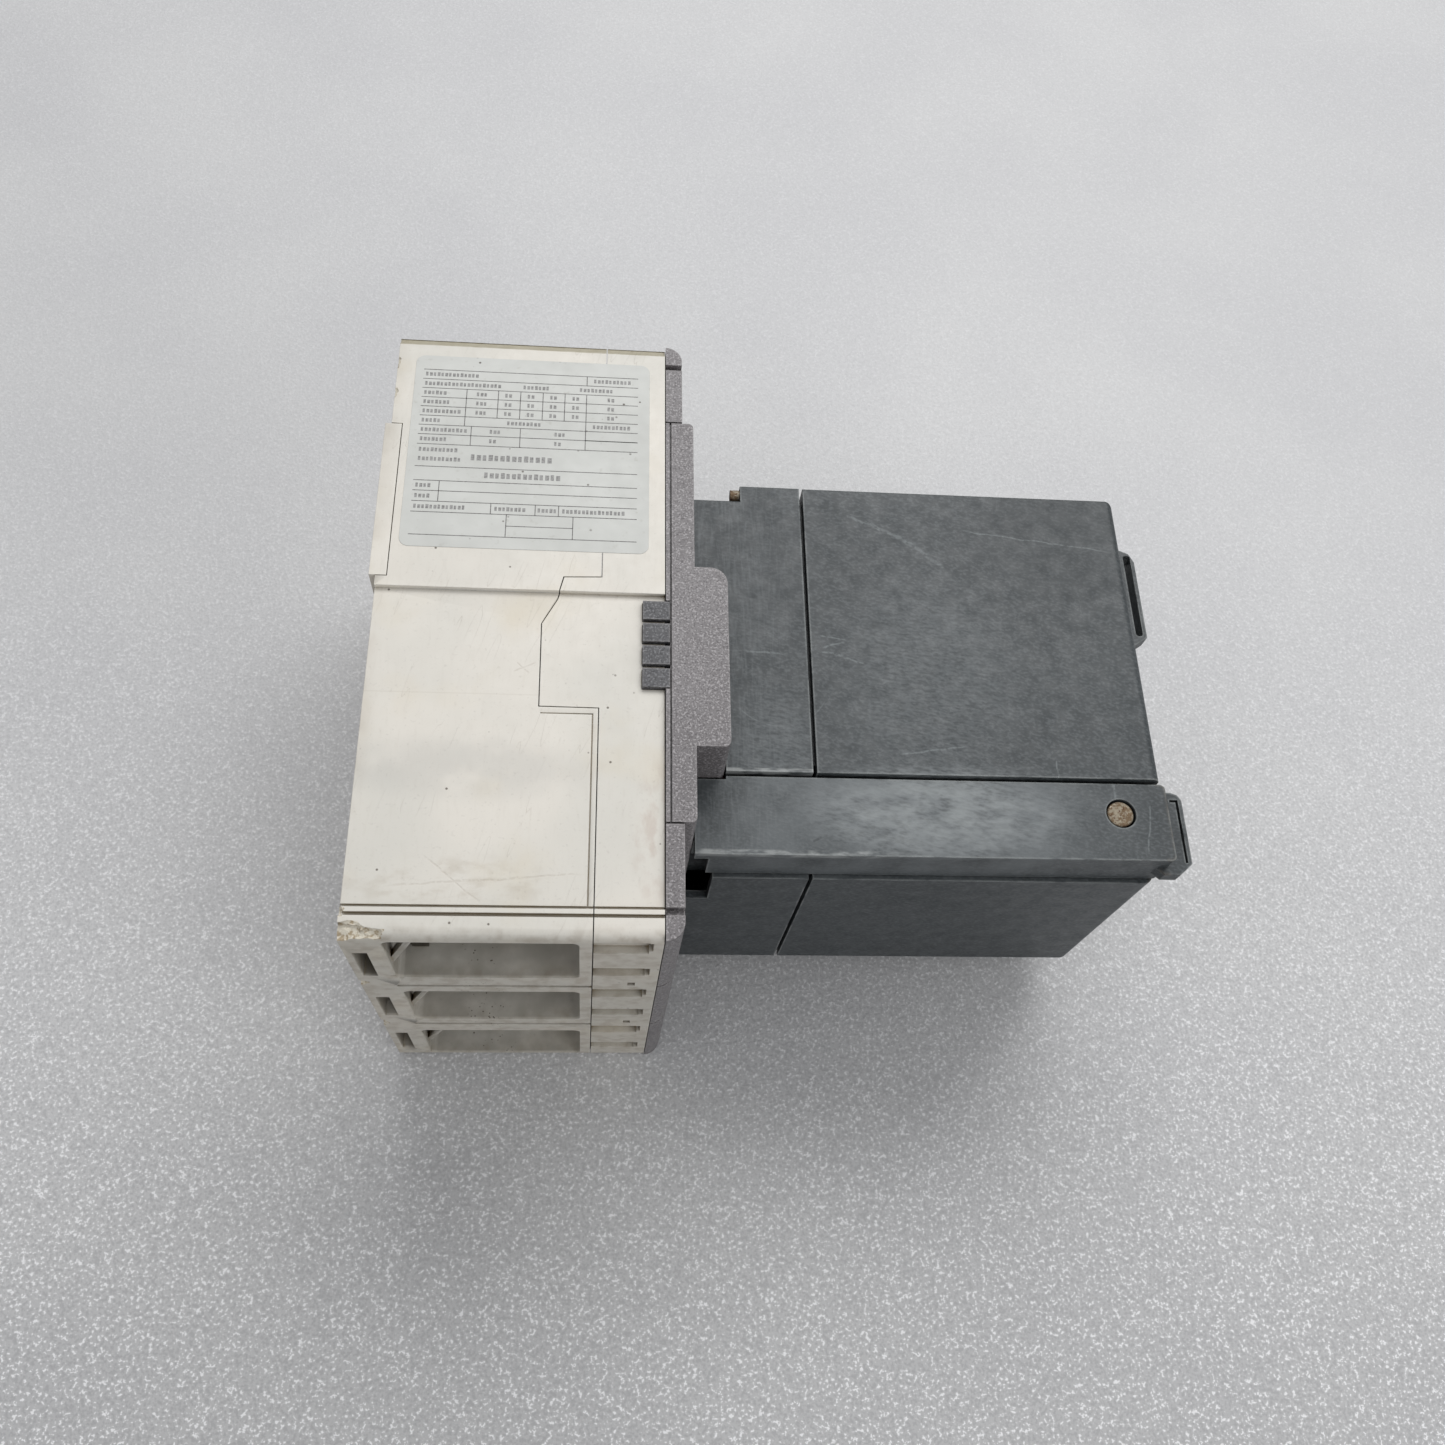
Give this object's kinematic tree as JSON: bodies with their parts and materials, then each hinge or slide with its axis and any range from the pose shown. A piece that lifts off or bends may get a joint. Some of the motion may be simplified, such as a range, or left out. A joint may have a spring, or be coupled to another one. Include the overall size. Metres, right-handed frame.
{
  "type": "moulded-case circuit breaker with motor operator",
  "caption": "Moulded-case circuit breaker in an ivory case with a dark mask, and a box-shaped dark grey motor operator with sealing plates on its front.",
  "frame": {"origin": "centre of the rear mounting face", "axes": "+X out of the mounting face towards the operator's front, +Y up the breaker's height to its line side, +Z across the poles to the labelled side, which is up as the part lies"},
  "size_m": [0.187, 0.15, 0.1052],
  "materials": {
    "case_plastic": "aged ivory moulding",
    "mask_plastic": "warm dark grey, fine speckle",
    "motor_plastic": "blue-green dark grey, scratched",
    "label": "satin sticker",
    "dark_plastic": "black moulding",
    "copper": "tinned copper",
    "silver": "silver alloy contact",
    "steel": "zinc-plated steel",
    "rusty_steel": "rusty steel",
    "red_plastic": "red button",
    "green_plastic": "green button",
    "board": "circuit board",
    "window": "clear lens",
    "gear_plastic": "natural nylon"
  },
  "bodies": {
    "breaker": {"base_case": "case_plastic", "rear_strips": "case_plastic", "front_cover": "case_plastic", "outlet_combs": "mask_plastic", "rating_label": "label", "case_screws": "steel", "front_mask": "mask_plastic", "lower_pole_caps": "mask_plastic", "upper_pole_caps": "mask_plastic", "line_terminals": "copper", "load_terminals": "copper", "terminal_nuts": "steel", "fixed_contacts": "silver", "flexible_braids": "copper", "arc_plates": "steel", "arc_cheeks": "case_plastic", "mechanism_plates": "steel", "yoke_pin": "steel", "bimetals": "steel", "magnet_yokes": "steel", "motor_base": "motor_plastic", "motor_cover": "motor_plastic", "side_bar": "motor_plastic", "bar_rivet": "rusty_steel", "operator_screws": "rusty_steel", "guide_rods": "steel", "gear_motor": "steel", "gear_plates": "steel", "plate_spacers": "steel", "circuit_board": "board", "board_parts": "dark_plastic", "terminal_block": "green_plastic", "limit_switches": "dark_plastic", "flag_bracket": "dark_plastic", "indicator_window": "window"},
    "toggle": {"toggle_handle": "dark_plastic", "toggle_yoke": "steel", "main_springs": "steel"},
    "rotor": {"contact_rotor": "dark_plastic", "moving_contacts": "copper", "contact_tips": "silver"},
    "trip_bar": {"trip_bar": "dark_plastic"},
    "test_button": {"test_button": "red_plastic"},
    "adjuster_dial": {"adjuster_dial": "dark_plastic"},
    "carriage": {"drive_carriage": "gear_plastic"},
    "output_gear": {"output_gear": "gear_plastic"},
    "motor_pinion": {"motor_pinion": "steel"},
    "position_flag": {"position_flag": "gear_plastic"},
    "on_button": {"on_button": "green_plastic", "on_spring": "steel"},
    "off_button": {"off_button": "red_plastic", "off_spring": "steel"},
    "mode_selector": {"mode_selector": "dark_plastic"},
    "key_barrel": {"key_barrel": "steel"},
    "lock_slide": {"lock_slide": "motor_plastic"}
  },
  "joints": [
    {"name": "toggle_swing", "type": "hinge", "parent": "breaker", "child": "toggle", "pos_m": [0.034, -0.0102, 0], "axis": [0, 0, 1], "range_deg": [0, 32]},
    {"name": "contacts_swing", "type": "hinge", "parent": "breaker", "child": "rotor", "pos_m": [0.022, -0.012, 0], "axis": [0, 0, 1], "range_deg": [0, 28]},
    {"name": "trip_bar_tilt", "type": "hinge", "parent": "breaker", "child": "trip_bar", "pos_m": [0.0445, -0.0385, 0], "axis": [0, 0, 1], "range_deg": [0, 13.01]},
    {"name": "test_button_push", "type": "slide", "parent": "breaker", "child": "test_button", "axis": [-1, 0, 0], "range_m": [0, 0.0024], "stiffness_N_per_m": 400, "springref_m": -0.001},
    {"name": "dial_turn", "type": "hinge", "parent": "breaker", "child": "adjuster_dial", "pos_m": [0.07, -0.022, -0.024], "axis": [1, 0, 0], "range_deg": [0, 270]},
    {"name": "carriage_slide", "type": "slide", "parent": "breaker", "child": "carriage", "axis": [0, 1, 0], "range_m": [0, 0.03001]},
    {"name": "output_gear_turn", "type": "hinge", "parent": "breaker", "child": "output_gear", "pos_m": [0.10915, 0, 0], "axis": [0, 0, 1], "range_deg": [-191, 0]},
    {"name": "motor_turn", "type": "hinge", "parent": "breaker", "child": "motor_pinion", "pos_m": [0.1343, 0, 0], "axis": [0, 0, 1], "range_deg": [0, 763.98]},
    {"name": "flag_turn", "type": "hinge", "parent": "breaker", "child": "position_flag", "pos_m": [0.169, 0.022, 0.004], "axis": [0, 0, 1], "range_deg": [0, 90]},
    {"name": "on_push", "type": "slide", "parent": "breaker", "child": "on_button", "axis": [-1, 0, 0], "range_m": [0, 0.002], "stiffness_N_per_m": 300, "springref_m": -0.001},
    {"name": "off_push", "type": "slide", "parent": "breaker", "child": "off_button", "axis": [-1, 0, 0], "range_m": [0, 0.002], "stiffness_N_per_m": 300, "springref_m": -0.001},
    {"name": "selector_turn", "type": "hinge", "parent": "breaker", "child": "mode_selector", "pos_m": [0.175, 0.022, -0.02], "axis": [1, 0, 0], "range_deg": [0, 90]},
    {"name": "key_turn", "type": "hinge", "parent": "breaker", "child": "key_barrel", "pos_m": [0.17, -0.038, -0.02], "axis": [1, 0, 0], "range_deg": [0, 90]},
    {"name": "lock_slide_pull", "type": "slide", "parent": "breaker", "child": "lock_slide", "axis": [1, 0, 0], "range_m": [-0.0065, 0]}
  ],
  "couplings": [
    {"joint": "contacts_swing", "follows": "toggle_swing", "ratio": 0.875},
    {"joint": "carriage_slide", "follows": "toggle_swing", "m_per_rad": 0.053715},
    {"joint": "output_gear_turn", "follows": "toggle_swing", "ratio": -5.9683},
    {"joint": "motor_turn", "follows": "toggle_swing", "ratio": 23.873},
    {"joint": "flag_turn", "follows": "toggle_swing", "ratio": 2.8125},
    {"joint": "trip_bar_tilt", "follows": "test_button_push", "rad_per_m": 94.539}
  ]
}
